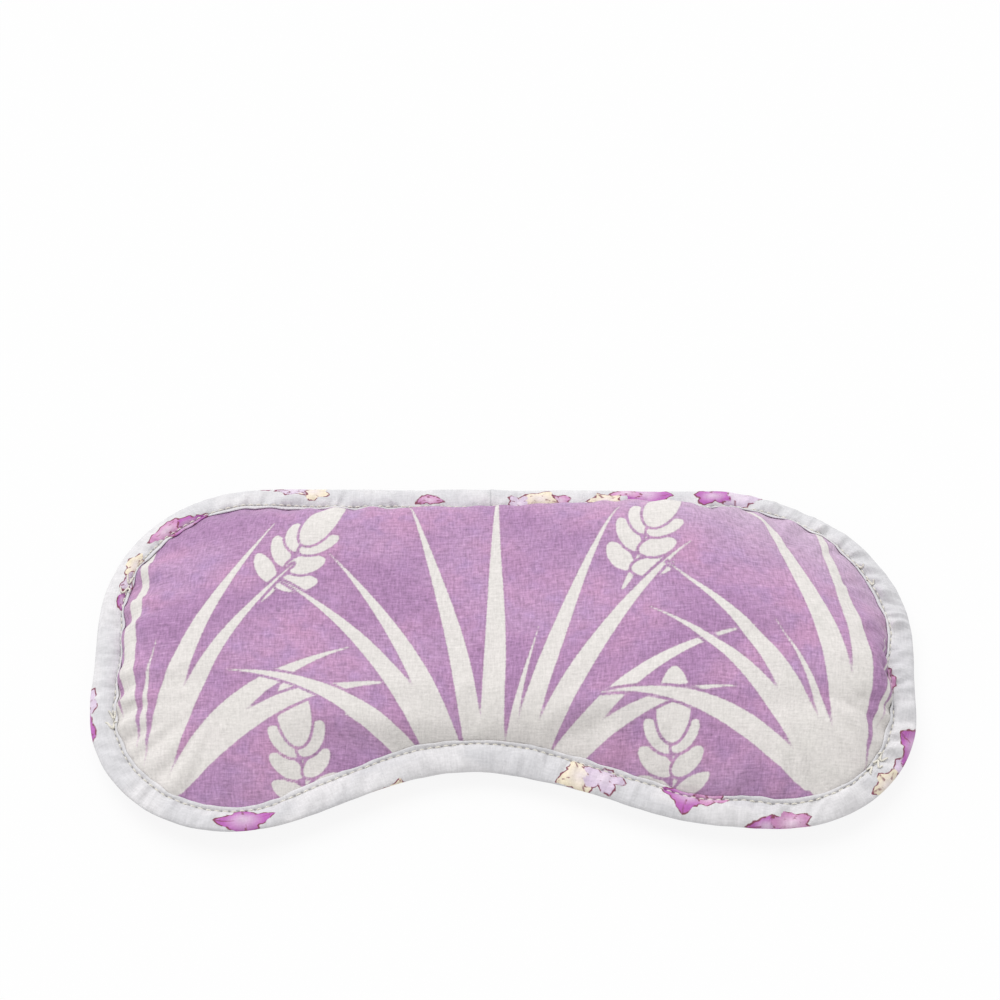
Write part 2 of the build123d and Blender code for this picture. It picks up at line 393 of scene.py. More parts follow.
def noise_at(x, y, z):
    """Smooth noise, from -1 to 1, at each place."""
    return np.array([noise.noise(Vector(place)) for place in np.broadcast(x, y, z)])


def quads_of(shape):
    """Faces of a grid whose points are numbered row by row."""
    return quads(np.arange(shape[0] * shape[1]).reshape(shape[:2]))


def surface_tree(grid):
    """A grid's surface, for rays."""
    return BVHTree.FromPolygons(grid.reshape(-1, 3).tolist(), quads_of(grid.shape).tolist())


def closed(line):
    """A line with its first point once more at its end."""
    return np.vstack([line, line[:1]])


def on_line(line, stations, distance):
    """Points of a closed line at distances along it, from the stations of its points."""
    distance = np.asarray(distance) % stations[-1]
    return np.stack([np.interp(distance, stations, axis) for axis in closed(line).T], -1)


def travelled(points):
    """Distance along a line of points, from its first point to each."""
    return np.r_[0, np.cumsum(np.linalg.norm(np.diff(points, axis=0), axis=1))]


def tube_faces(first, length, sides):
    """Faces of a tube whose points are numbered ring by ring, with a closed end at each end."""
    index = first + np.arange(length * sides).reshape(length, sides)
    around = np.roll(index, -1, 1)
    walls = np.stack([index[:-1], index[1:], around[1:], around[:-1]], -1).reshape(-1, 4)
    return [*walls, index[0], index[-1][::-1]]


def make_piece(name, points, faces, material, node, attributes=None):
    """A smooth-shaded piece from points in millimetres, in place of a CAD node."""
    mesh = bpy.data.meshes.new(name)
    mesh.from_pydata((np.asarray(points) * MM).tolist(), [], [list(map(int, face)) for face in faces])
    mesh.polygons.foreach_set("use_smooth", np.ones(len(mesh.polygons), bool))
    mesh.materials.append(material)
    for title, values in (attributes or {}).items():
        values = np.asarray(values, float)
        if values.ndim == 1:
            mesh.attributes.new(title, "FLOAT", "POINT").data.foreach_set("value", values)
        else:
            mesh.attributes.new(title, "FLOAT_VECTOR", "POINT").data.foreach_set("vector", values.ravel())
    mesh.update()
    piece = bpy.data.objects.new(name, mesh)
    bpy.context.scene.collection.objects.link(piece)
    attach(piece, BODY)
    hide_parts(node)
    return piece


def panel_mesh(grid, inward, thickness):
    """A closed sheet: the grid as its outer face, every second point for its inner face, and a rim."""
    outer = np.arange(grid.shape[0] * grid.shape[1]).reshape(grid.shape[:2])
    coarse = (grid + inward * normals_of(grid) * thickness)[::2, ::2]
    inner = outer.size + np.arange(coarse.shape[0] * coarse.shape[1]).reshape(coarse.shape[:2])
    faces = [*quads(outer), *quads(inner)[:, ::-1]]
    outer_ring = outer[ring_cells(outer.shape)]
    inner_ring = inner[ring_cells(inner.shape)]
    for k, corner in enumerate(inner_ring):
        following = inner_ring[(k + 1) % len(inner_ring)]
        a, b, c = outer_ring[2 * k], outer_ring[2 * k + 1], outer_ring[(2 * k + 2) % len(outer_ring)]
        faces.extend([(b, a, corner), (c, b, following), (b, corner, following)])
    if inward > 0:
        faces = [face[::-1] for face in faces]
    return np.vstack([grid.reshape(-1, 3), coarse.reshape(-1, 3)]), faces


def with_inner(values):
    """Attribute values of a grid, followed by those of the inner face that panel_mesh adds."""
    flat_shape = (-1,) if values.ndim == 2 else (-1, values.shape[-1])
    return np.concatenate([values.reshape(flat_shape), values[::2, ::2].reshape(flat_shape)])


def loop_mesh(sections):
    """A closed tube from a ring of closed sections."""
    count, size = sections.shape[:2]
    index = np.arange(count * size).reshape(count, size)
    along, across = np.roll(index, -1, 0), np.roll(index, -1, 1)
    both = np.roll(along, -1, 1)
    faces = np.stack([index.ravel(), across.ravel(), both.ravel(), along.ravel()], 1)
    return sections.reshape(-1, 3), faces


# ---- Print on the covers: a generic repeat of grass tufts and budding sprigs, laid out by formula ----
FAR = 9.0  # distance given to points that no stroke comes near
STROKE_STEPS = 22
STROKE_END = 0.97  # a stroke stops short of its point, so that the tip keeps a printable width
SLIT = 0.85  # ground colour left between shapes that cross
BLEED = 1.1  # how far apart the blades of one tuft start to run together
REPEAT = (96.0, 106.0)  # size of the repeat
REPEAT_ORIGIN = (-3.0, -50.0)
TUFT_BLADES = 13
TUFT_SPREAD = math.radians(64)
TUFT_FOOT = 15.0  # half the width of the ground that a tuft's blades grow from
TUFT_HEAP = 7.0  # how much lower the middle blades start than the outer ones
SPRIG_PAIRS = 3
SPRIG_REACH = 20.0


def blade_width(t):
    """A grass blade: slender at its root, fullest a third of the way up, drawn out to a point."""
    return (0.32 + 0.68 * np.sin(math.pi * t**0.7)) * (1 - t**2.4)


def bud_width(t):
    """A bud: narrow where it leaves the stem, round at its end."""
    return np.sin(math.pi * (0.04 + 0.96 * t) ** 0.85) ** 0.6


def tuft(x, y, draw):
    """Blades that fan out from one root; the outer ones are shorter and arch further over."""
    strokes = []
    for k in range(TUFT_BLADES):
        share = 2 * (k + 0.5) / TUFT_BLADES - 1
        lean = TUFT_SPREAD * (share + 0.06 * draw.uniform(-1, 1))
        length = (112 - 46 * abs(share)) * (0.55 if k % 3 == 1 else 1) * draw.uniform(0.86, 1.05)
        width = (2.6 if k % 3 == 1 else 6.0) * draw.uniform(0.8, 1.15)
        root = (x + TUFT_FOOT * share, y + TUFT_HEAP * share**2)
        tip = (root[0] + length * math.sin(lean), y + length * math.cos(lean))
        strokes.append((root, tip, -0.30 * length * math.sin(lean), width, blade_width))
    return strokes


def sprig(x, y, lean, draw):
    """A short stem with pairs of round buds that stand apart, and one larger bud at its end."""
    along = np.array([math.sin(lean), math.cos(lean)])
    foot = np.array([x, y])
    strokes = [(foot, foot + along * SPRIG_REACH, 1.5, 1.6, blade_width)]
    for pair in range(SPRIG_PAIRS):
        start = foot + along * SPRIG_REACH * (0.30 + 0.28 * pair)
        for side in (-1, 1):
            turn = lean + side * math.radians(58 - 10 * pair)
            outward_turn = np.array([math.sin(turn), math.cos(turn)])
            length = draw.uniform(8.0, 10.5)
            width = draw.uniform(4.4, 5.8)
            inner = start + 1.3 * outward_turn
            strokes.append((inner, inner + length * outward_turn, 0.5 * side, width, bud_width))
    tip = foot + along * (SPRIG_REACH + 1.5)
    strokes.append((tip, tip + along * 17.0, 0.0, 8.6, bud_width))
    return strokes


def print_groups():
    """Every tuft and sprig that reaches the pillow, each with the slit between its own strokes."""
    draw = random.Random(11)
    groups = []
    for row in (-1, 0, 1):
        for column in (-2, -1, 0, 1, 2):
            x = REPEAT_ORIGIN[0] + (column + 0.5 * (row % 2)) * REPEAT[0]
            y = REPEAT_ORIGIN[1] + row * REPEAT[1]
            groups.append((SLIT, sprig(x + REPEAT[0] / 2, y - 2, draw.uniform(-0.3, 0.3), draw)))
            upper_lean = draw.uniform(0.2, 0.7)
            groups.append((SLIT, sprig(x + REPEAT[0] * 0.36, y + REPEAT[1] * 0.56, upper_lean, draw)))
            groups.append((0, tuft(x, y, draw)))
    return groups


def stroke_distance(points, root, tip, bend, width, profile):
    """Signed distance to the edge of a curved, tapered stroke; negative inside."""
    root, tip = np.array(root), np.array(tip)
    aside = np.array([root[1] - tip[1], tip[0] - root[0]])
    middle = (root + tip) / 2 - bend * aside / np.linalg.norm(aside)
    t = np.linspace(0, STROKE_END, STROKE_STEPS + 1)
    line = np.outer((1 - t) ** 2, root) + np.outer(2 * t * (1 - t), middle) + np.outer(t**2, tip)
    half = width / 2 * profile(t)
    best = np.full(len(points), FAR)
    for k in range(STROKE_STEPS):
        run = line[k + 1] - line[k]
        share = np.clip((points - line[k]) @ run / (run @ run), 0, 1)
        gap = np.hypot(*(points - line[k] - share[:, None] * run).T)
        best = np.minimum(best, gap - half[k] - (half[k + 1] - half[k]) * share)
    return best


def lay_over(under, edge, slit):
    """Prints one shape over others: they bleed together, or a slit of ground colour parts them."""
    if slit:
        return np.minimum(np.maximum(under, slit - edge), edge)
    together = np.clip(1 - np.abs(under - edge) / BLEED, 0, 1)
    return np.minimum(under, edge) - BLEED / 4 * together**2


def print_distance(points):
    """Signed distance to the edge of the printed design, in millimetres; negative inside."""
    distance = np.full(len(points), FAR)
    for slit, strokes in print_groups():
        group = np.full(len(points), FAR)
        for root, tip, bend, width, profile in strokes:
            box = np.array([root, tip])
            reach = abs(bend) / 2 + width / 2 + FAR / 3
            close = np.all((points > box.min(0) - reach) & (points < box.max(0) + reach), axis=1)
            if close.any():
                edge = stroke_distance(points[close], root, tip, bend, width, profile)
                group[close] = lay_over(group[close], edge, slit)
        distance = lay_over(distance, group, SLIT)
    return distance


# ---- Materials ----
STUDIO_LEVEL = 1.3  # brightness of a white surface under this scene's light
SHEEN_ROUGHNESS = 0.6
WEAVE_PITCH = 0.55  # of the cotton's threads
UNDYED_FLECKS, DYED_FLECKS, STRIP_FLECKS = 0.40, 0.95, 0.34  # how much the threads differ
MUSLIN_PITCH, MUSLIN_FLECKS = 0.8, 0.5
PLY_PITCH, PLY_SHADE = 0.55, 0.86  # of the sewing thread's twist, and how deep the painted shade in its grooves is

# sRGB colours, as they show under this scene's light
MAUVE, PINK_MAUVE, BLUE_MAUVE = (187, 148, 187), (197, 150, 187), (178, 145, 191)
# the middle colour on the next line is a painted highlight, for the upper slope that faces the light
DEEP_MAUVE, HIGHLIGHT_MAUVE, MAUVE_RIM = (174, 133, 175), (211, 188, 210), (176, 140, 168)
UNDYED, UNDYED_WARM, SLUB = (226, 223, 218), (231, 225, 223), (240, 226, 236)
STRIP_GREY, STRIP_PALE, MOTIF_LINE = (219, 218, 221), (230, 228, 230), (140, 78, 96)
# the first colour on the next line is painted shade, for the needle holes
NEEDLE_HOLE_SHADE, ECRU = (84, 74, 70), (252, 247, 234)
MUSLIN_DARK, MUSLIN_PALE = (226, 217, 196), (236, 230, 214)
# the last colour on the next line is painted shade, for the gaps between the seeds
SEED_DARK, SEED_PALE, SEED_GAP_SHADE = (96, 58, 34), (158, 104, 58), (46, 30, 22)
BUD_VIOLET, BUD_GREY = (92, 82, 128), (146, 140, 160)


def linear(channel):
    """One sRGB channel, 0 to 255, as linear light."""
    share = channel / 255
    return share / 12.92 if share <= 0.04045 else ((share + 0.055) / 1.055) ** 2.4


def seen(colour):
    """The surface colour that shows as this sRGB colour under the scene's light."""
    return (*(linear(channel) / STUDIO_LEVEL for channel in colour), 1.0)


class Shader:
    """A material's node tree, with short calls for the nodes that the cloths share."""

    def __init__(self, name, roughness, sheen=0.0, specular=0.3):
        self.material = bpy.data.materials.new(name)
        self.material.use_nodes = True
        self.tree = self.material.node_tree
        self.bsdf = self.tree.nodes["Principled BSDF"]
        surface = {"Roughness": roughness, "Specular IOR Level": specular}
        self.fill(self.bsdf, {**surface, "Sheen Weight": sheen, "Sheen Roughness": SHEEN_ROUGHNESS})

    def add(self, kind, inputs, **settings):
        """Adds a node with its settings, fills its inputs, and gives its outputs."""
        node = self.tree.nodes.new(kind)
        for name, value in settings.items():
            setattr(node, name, value)
        self.fill(node, inputs)
        return node.outputs

    def fill(self, node, inputs):
        """Sets a node's inputs to constants, or links them to other nodes' outputs."""
        for name, value in inputs.items():
            if isinstance(value, bpy.types.NodeSocket):
                self.tree.links.new(value, node.inputs[name])
            else:
                node.inputs[name].default_value = value

    def attribute(self, name, output="Fac"):
        return self.add("ShaderNodeAttribute", {}, attribute_name=name)[output]

    def math(self, operation, *values):
        return self.add("ShaderNodeMath", dict(enumerate(values)), operation=operation)[0]

    def scaled(self, vector, factors):
        return self.add("ShaderNodeVectorMath", {0: vector, 1: factors}, operation="MULTIPLY")[0]

    def axis(self, vector, name):
        return self.add("ShaderNodeSeparateXYZ", {0: vector})[name]

    def noise(self, vector, scale=1.0, detail=2.0, roughness=0.5):
        inputs = {"Vector": vector, "Scale": scale, "Detail": detail, "Roughness": roughness}
        return self.add("ShaderNodeTexNoise", inputs)["Fac"]

    def ramp(self, value, low, high, to_low=0.0, to_high=1.0):
        inputs = {"Value": value, "From Min": low, "From Max": high, "To Min": to_low, "To Max": to_high}
        return self.add("ShaderNodeMapRange", inputs, interpolation_type="SMOOTHSTEP")[0]

    def mix(self, share, first, second, blend="MIX"):
        inputs = {"Factor": share, 6: first, 7: second}
        return self.add("ShaderNodeMix", inputs, data_type="RGBA", blend_type=blend)[2]

    def bump(self, height, distance):
        inputs = {"Strength": 1.0, "Distance": distance, "Height": height}
        self.fill(self.bsdf, {"Normal": self.add("ShaderNodeBump", inputs)[0]})

    def colour(self, value):
        self.fill(self.bsdf, {"Base Color": value})

    def weave(self, vector, pitch):
        """Height of a plain weave whose threads are pitch apart, from 0 to 1, with uneven yarns."""
        slow = self.noise(self.scaled(vector, (0.12, 0.12, 0.12)), detail=1.0)
        drift = self.math("MULTIPLY", slow, 2.0)
        along = self.math("MULTIPLY_ADD", self.axis(vector, "X"), math.pi / pitch, drift)
        across = self.math("MULTIPLY_ADD", self.axis(vector, "Y"), math.pi / pitch, drift)
        product = self.math("MULTIPLY", self.math("SINE", along), self.math("SINE", across))
        return self.math("MULTIPLY_ADD", product, 0.5, 0.5)

    def yarns(self, vector, fine, long):
        """Uneven yarns both ways: streaks fine across and long along, around 0.5."""
        warp = self.noise(self.scaled(vector, (1 / fine, 1 / long, 1)), detail=2.0, roughness=0.7)
        weft = self.noise(self.scaled(vector, (1 / long, 1 / fine, 1)), detail=2.0, roughness=0.7)
        return warp, weft

def cloth_flecks(shader, vector, colour, pitch, strength):
    """Lightens and darkens a cloth's colour thread by thread, and raises its weave."""
    warp, weft = shader.yarns(vector, pitch, pitch * 5)
    both = shader.math("ADD", warp, weft)
    uneven = shader.math("ADD", both, -1.0)
    shade = shader.math("MULTIPLY_ADD", uneven, strength, 1.0)
    colour = shader.mix(1.0, colour, shade, "MULTIPLY")
    slub = shader.math("MAXIMUM", shader.ramp(weft, 0.60, 0.78), shader.ramp(warp, 0.64, 0.80))
    colour = shader.mix(shader.math("MULTIPLY", slub, 0.16), colour, seen(SLUB))
    height = shader.math("MULTIPLY_ADD", shader.weave(vector, pitch), 0.25, both)
    shader.bump(height, pitch * MM * 0.16)
    return colour


def printed_cotton(name):
    """Mauve hand-printed cotton with an undyed design."""
    shader = Shader(name, roughness=0.92, sheen=0.12, specular=0.2)
    vector = shader.attribute("pattern", "Vector")
    edge = shader.attribute("print_edge")
    wander = shader.noise(vector, 1.3, detail=3.0)
    edge = shader.math("ADD", edge, shader.math("MULTIPLY_ADD", wander, 0.5, -0.25))
    pink = shader.ramp(shader.noise(shader.scaled(vector, (0.045, 0.075, 1)), detail=3.0), 0.38, 0.66)
    blue = shader.ramp(shader.noise(shader.scaled(vector, (0.09, 0.11, 1)), 1.7, detail=3.0), 0.46, 0.70)
    ground = shader.mix(pink, seen(MAUVE), seen(PINK_MAUVE))
    ground = shader.mix(shader.math("MULTIPLY", blue, 0.5), ground, seen(BLUE_MAUVE))
    broad = shader.noise(shader.scaled(vector, (0.022, 0.034, 1)), 1.3, detail=2.0)
    ground = shader.mix(shader.ramp(broad, 0.40, 0.66), ground, seen(DEEP_MAUVE))
    # painted highlight: the ground lightens toward the pattern's far right corner, the front's upper slope
    # that faces the light
    highlight_slope = shader.math("MULTIPLY_ADD", shader.axis(vector, "X"), 0.42, shader.axis(vector, "Y"))
    ground = shader.mix(shader.ramp(highlight_slope, 38, 74, 0.0, 0.7), ground, seen(HIGHLIGHT_MAUVE))
    rim = shader.ramp(edge, 0.0, 0.9, 0.35, 0.0)
    ground = shader.mix(rim, ground, seen(MAUVE_RIM))
    cloth = shader.mix(shader.noise(vector, 0.08), seen(UNDYED), seen(UNDYED_WARM))
    covered = shader.ramp(edge, 0.26, -0.20)
    colour = shader.mix(covered, ground, cloth)
    # undyed yarns differ less than dyed ones
    strength = shader.math("MULTIPLY_ADD", covered, UNDYED_FLECKS - DYED_FLECKS, DYED_FLECKS)
    shader.colour(cloth_flecks(shader, vector, colour, WEAVE_PITCH, strength))
    return shader.material


def binding_cotton(name):
    """Pale grey-lavender cotton with scattered printed petals, leaves and outlines, and painted shade at
    the needle holes.
    """
    shader = Shader(name, roughness=0.92, sheen=0.12, specular=0.2)
    vector = shader.attribute("band", "Vector")
    edge = shader.attribute("motif_edge")
    tint = shader.attribute("motif_tint", "Vector")
    wander = shader.noise(vector, 0.9, detail=2.0)
    edge = shader.math("ADD", edge, shader.math("MULTIPLY_ADD", wander, 0.6, -0.3))
    patch = shader.ramp(shader.noise(shader.scaled(vector, (0.05, 0.1, 1)), detail=2.0), 0.42, 0.60)
    ground = shader.mix(patch, seen(STRIP_GREY), seen(STRIP_PALE))
    petal = shader.mix(shader.ramp(edge, 0.1, -0.1), ground, tint)
    rim = shader.ramp(shader.math("ABSOLUTE", edge), 0.28, 0.10)
    vein = shader.ramp(shader.attribute("motif_vein"), 0.30, 0.10, 0.0, 0.8)
    broken = shader.ramp(shader.noise(vector, 0.45), 0.38, 0.50)
    line = shader.math("MULTIPLY", shader.math("MAXIMUM", rim, vein), broken)
    colour = shader.mix(line, petal, seen(MOTIF_LINE))
    colour = cloth_flecks(shader, vector, colour, WEAVE_PITCH, STRIP_FLECKS)
    # painted shade at the needle holes
    hole_shade = shader.attribute("stitch_hole_shade")
    shader.colour(shader.mix(hole_shade, colour, seen(NEEDLE_HOLE_SHADE)))
    return shader.material


def sewing_thread(name, colour):
    """Spun thread: twisted plies, slightly uneven, with painted shade in the grooves between the plies."""
    shader = Shader(name, roughness=0.75, sheen=0.1)
    vector = shader.attribute("thread", "Vector")
    along = shader.math("MULTIPLY", shader.axis(vector, "X"), 2 * math.pi / PLY_PITCH)
    around = shader.math("ADD", along, shader.axis(vector, "Y"))
    ply = shader.ramp(shader.math("SINE", around), -1.0, 1.0)
    fuzz = shader.noise(vector, 3.0, detail=3.0)
    # painted shade in the grooves between the plies
    groove_shade = tuple(c * PLY_SHADE for c in colour[:3]) + (1.0,)
    shader.colour(shader.mix(shader.math("MULTIPLY", ply, fuzz), groove_shade, colour))
    shader.bump(ply, 0.05 * MM)
    return shader.material


def muslin(name):
    """Undyed open-weave muslin of the inner pouch."""
    shader = Shader(name, roughness=0.95, sheen=0.1, specular=0.2)
    vector = shader.attribute("pattern", "Vector")
    patch = shader.noise(vector, 0.07)
    colour = shader.mix(patch, seen(MUSLIN_DARK), seen(MUSLIN_PALE))
    shader.colour(cloth_flecks(shader, vector, colour, MUSLIN_PITCH, MUSLIN_FLECKS))
    return shader.material


def flaxseed(name):
    """Poured flaxseed: glossy brown seeds, each its own tone, with painted shade in the gaps between them.
    """
    shader = Shader(name, roughness=0.35, specular=0.5)
    vector = shader.attribute("pattern", "Vector")
    lengthened = shader.scaled(vector, (0.28, 0.5, 0.5))
    cells = shader.add("ShaderNodeTexVoronoi", {"Vector": lengthened, "Scale": 1.0})
    shade = shader.ramp(shader.axis(cells["Color"], "X"), 0.0, 1.0)
    brown = shader.mix(shade, seen(SEED_DARK), seen(SEED_PALE))
    # painted shade in the gaps between the seeds
    gap = shader.ramp(cells["Distance"], 0.35, 0.6)
    shader.colour(shader.mix(gap, brown, seen(SEED_GAP_SHADE)))
    shader.bump(shader.ramp(cells["Distance"], 0.6, 0.0), 0.6 * MM)
    return shader.material


def lavender(name):
    """Dried lavender buds, mottled grey-violet."""
    shader = Shader(name, roughness=0.85, sheen=0.2)
    vector = shader.attribute("pattern", "Vector")
    mottle = shader.noise(vector, 1.2, detail=3.0)
    shader.colour(shader.mix(mottle, seen(BUD_VIOLET), seen(BUD_GREY)))
    shader.bump(mottle, 0.2 * MM)
    return shader.material


# ---- Covers ----
sides = grid_sides(STITCH_INSET)
flat = relax(coons(*[side[:, :2] for side in sides]), PATTERN_ROUNDS)
ring_headings = np.concatenate([side[:-1, 2] for side in sides])
ring_normals = np.stack([np.sin(ring_headings), -np.cos(ring_headings)], 1)
front_raw, back_raw = simulate(flat, ring_normals)
front_grid, back_grid, seam_grid = shape_covers(flat, front_raw, back_raw)
pattern = refine(flat)
front_fine = refine(front_grid)
back_fine = refine(back_grid)
seam_fine = refine(seam_grid[..., None])[..., 0]


# ---- Gathers: the covers ripple where the stitches draw them in, fading toward the middle ----
GATHER_REACH = 5.0
GATHER_WAVE = 5.2
RING_STEP = 0.48  # about how far apart the seam's points are
fine_ring = pattern[ring_cells(pattern.shape)]
seam_places = KDTree(len(fine_ring))
for number, place in enumerate(fine_ring):
    seam_places.insert((*place, 0), number)
seam_places.balance()
nearest = [seam_places.find((*place, 0)) for place in pattern.reshape(-1, 2)]
from_seam = np.array([distance for _, _, distance in nearest]).reshape(pattern.shape[:2])
seam_number = np.array([number for _, number, _ in nearest]).reshape(pattern.shape[:2])
turn = seam_number * 2 * math.pi / len(fine_ring)
around = len(fine_ring) * RING_STEP / (2 * math.pi * GATHER_WAVE)
for fine, seed in ((front_fine, 3.0), (back_fine, 8.0)):
    ripple = noise_at(around * np.cos(turn), around * np.sin(turn), seed + from_seam / 30)
    size = 1.0 + 0.9 * np.clip((np.abs(pattern[..., 0]) - 60) / 30, 0, 1)  # larger at the ends
    fade = (from_seam / GATHER_REACH) * np.exp(1 - from_seam / GATHER_REACH)
    fine += (ripple.reshape(turn.shape) * size * fade)[..., None] * normals_of(fine)
back_fine[..., 2] = np.maximum(back_fine[..., 2], FLOOR_GAP)

# the back is cut from another place on the same cloth, so the design is turned and shifted
BACK_SHIFT = (18.0, -9.0)
BACK_LAYER = 40.0  # each piece's weave is taken from its own layer of the procedural texture
cotton = printed_cotton("printed_cotton")


def make_cover(name, node, grid, inward, cut, layer):
    """One cover as a closed sheet, with the print of the place on the cloth that it is cut from."""
    edge = print_distance(cut.reshape(-1, 2)).reshape(cut.shape[:2])
    place = np.dstack([cut, np.full(cut.shape[:2], layer)])
    points, faces = panel_mesh(grid, inward, CLOTH)
    cover = make_piece(name, points, faces, cotton, node,
                       {"pattern": with_inner(place), "print_edge": with_inner(edge)})


make_cover("front_cover", "front_cover_panel", front_fine, -1, pattern, 0.0)
make_cover("back_cover", "back_cover_panel", back_fine, 1, BACK_SHIFT - pattern, BACK_LAYER)

# ---- Binding: a folded strip sewn round the covers' edge ----
SEAM_LINE = front_fine[ring_cells(front_fine.shape)]
HEM_WIDTH = 1.3  # strip inside the stitch line, which lies up against the filled front
STRIP_WIDTH = 16.0  # right round the strip, from the front stitches over the fold to the back ones
LAP_EDGE_X = -4.0  # the strip's end is turned under and lapped over its start, on the far side
LAP_FADE = 14.0
LAP_PLY = 0.5
HEM_INSETS = np.arange(0.25, 4.0, 0.25)
ABOVE = 60.0  # rays that look for a cover start this far off
SMOOTHING = 24  # stations that the fold is evened over, so that it doesn't follow each small pucker

# (station across, height above the middle, share of the puckering) of the strip from stitch line to fold
STRIP_PROFILE = [
    (0.5, 0.72, 0.35),
    (1.1, 1.10, 0.8),
    (2.0, 1.42, 1.0),
    (3.3, 1.60, 1.0),
    (4.8, 1.50, 0.8),
    (6.1, 1.15, 0.5),
    (6.9, 0.75, 0.25),
    (7.3, 0.35, 0.1),
]
# (share of the hem's width, height above the cover) from its hidden underside to the stitch line
HEM_PROFILE = [(0.2, 0.05), (0.95, 0.05), (1.1, 0.3), (0.95, 0.6), (0.5, 0.66), (0.1, 0.5)]


def loop_noise(distance, across, wavelength, seed):
    """Smooth noise along the closed seam, from -1 to 1, which meets itself where the seam closes."""
    radius = SEAM_LENGTH / (2 * math.pi * wavelength)
    angle = distance * 2 * math.pi / SEAM_LENGTH
    return noise_at(radius * np.cos(angle), radius * np.sin(angle), across + seed)


def even_out(values, span):
    """Moving average round a closed loop."""
    total = sum(np.roll(values, shift, 0) for shift in range(-span, span + 1))
    return total / (2 * span + 1)


seam_stations = travelled(closed(SEAM_LINE))
station, SEAM_LENGTH = seam_stations[:-1], float(seam_stations[-1])
smooth_line = even_out(even_out(SEAM_LINE, SMOOTHING), SMOOTHING // 2)
run = np.roll(smooth_line, -1, 0) - np.roll(smooth_line, 1, 0)
outward = unit(np.stack([run[:, 1], -run[:, 0], np.zeros(len(run))], 1))
stitch_count = round(SEAM_LENGTH / STITCH_PITCH)
stitch_pitch = SEAM_LENGTH / stitch_count
far_side = np.flatnonzero(smooth_line[:, 1] > 0)
lap_edge = station[far_side[np.argmin(np.abs(smooth_line[far_side, 0] - LAP_EDGE_X))]]
past_lap = (station - lap_edge) % SEAM_LENGTH  # distance along the strip from its lapped end
still = np.zeros(len(station))


def fold_height(x, y):
    """Height of the middle of the outer fold."""
    near_side = past(y, *NEAR_SIDE)
    lobes = 1.1 * near(x, -74, 30) + 0.7 * near(x, 74, 30) - 0.5 * near(x, -7, 24)
    return FOLD_Z + lobes * near_side - 1.8 * near(x, 84, 14) * (1 - near_side)


def hem_profiles(cover, up):
    """For each station, the cover's surface just inside the stitch line, as points by distance along it."""
    tree = surface_tree(cover)
    profiles = []
    for line, out in zip(SEAM_LINE, outward):
        points = [line]
        for inset in HEM_INSETS:
            above = line - out * inset + [0, 0, ABOVE * up]
            hit = tree.ray_cast(Vector(above), Vector((0, 0, -up)))[0]
            points.append(np.array(hit) if hit else points[-1])
        profiles.append(points)
    return even_out(np.array(profiles), 3)


def walk(profiles, distances):
    """Point at a distance along each station's profile, and the step along the profile there."""
    places, tangents = [], []
    for profile, distance in zip(profiles, distances):
        far = travelled(profile)
        cell = int(np.clip(np.searchsorted(far, distance) - 1, 0, len(far) - 2))
        share = (distance - far[cell]) / max(far[cell + 1] - far[cell], 1e-6)
        places.append(profile[cell] + (profile[cell + 1] - profile[cell]) * min(share, 1))
        tangents.append(profile[cell + 1] - profile[cell])
    return np.array(places), np.array(tangents)


fold = fold_height(*smooth_line[:, :2].T) + 0.5 * loop_noise(station, still, 26.0, 9)
reach = 1 + 0.05 * loop_noise(station, still, 19.0, 1) + 0.02 * loop_noise(station, still, 5.0, 2)
lap = LAP_PLY * np.clip(1 - (SEAM_LENGTH - past_lap) / LAP_FADE, 0, 1)


def strip_side(cover, up):
    """Half of each section of the strip, from the hidden underside of the hem to the outer fold.

    Returns the points, and for each the distance across the strip from the stitch line.
    """
    profiles = hem_profiles(cover, up)
    seed = 11.0 * up
    width = HEM_WIDTH * (1 + 0.45 * loop_noise(station, still, 21.0, 3 + seed))
    width *= 1 + 0.22 * loop_noise(station, still, 4.0, 5 + seed)
    pucker_size = 1.2 + 1.1 * past(smooth_line[:, 0], 72, 8)  # the right end puckers most
    columns, across = [], []
    for share, lift in HEM_PROFILE:
        place, tangent = walk(profiles, width * share)
        aside = np.stack([tangent[:, 2] * up] * 3, 1) * outward
        rise = np.linalg.norm(tangent[:, :2], axis=1)[:, None] * np.array([0, 0, up])
        normal = unit(aside + rise)
        shown = lift > 0.2
        ripple = 0.16 * loop_noise(station, still + share, 2.6, 17 + seed)
        columns.append(place + normal * (lift + (ripple + lap) * shown)[:, None])
        across.append(-width * share)
    for out, height, share in STRIP_PROFILE:
        to_smooth = min(out / 4, 1)
        base = SEAM_LINE * (1 - to_smooth) + smooth_line * to_smooth
        middle = base[:, 2] + (fold - base[:, 2]) * (out / BINDING_REACH) ** 1.3
        slanted = station + 1.1 * out * loop_noise(station, still, 30.0, 31)
        pucker = loop_noise(slanted, still + out * 0.10, 3.1, 23 + seed)
        pucker = pucker + 0.5 * loop_noise(slanted, still + out * 0.16, 1.7, 29 + seed)
        puff = height + pucker_size * share * pucker + lap * min(1, height)
        seat = 0.12 * np.cos(2 * math.pi * station / stitch_pitch) * (out < 1.5)
        place = base + outward * (out * reach)[:, None]
        place[:, 2] = middle + up * np.maximum(puff - seat, 0.25 * height)
        columns.append(place)
        across.append(np.full(len(station), out + 0.25 * height))
    return columns, across


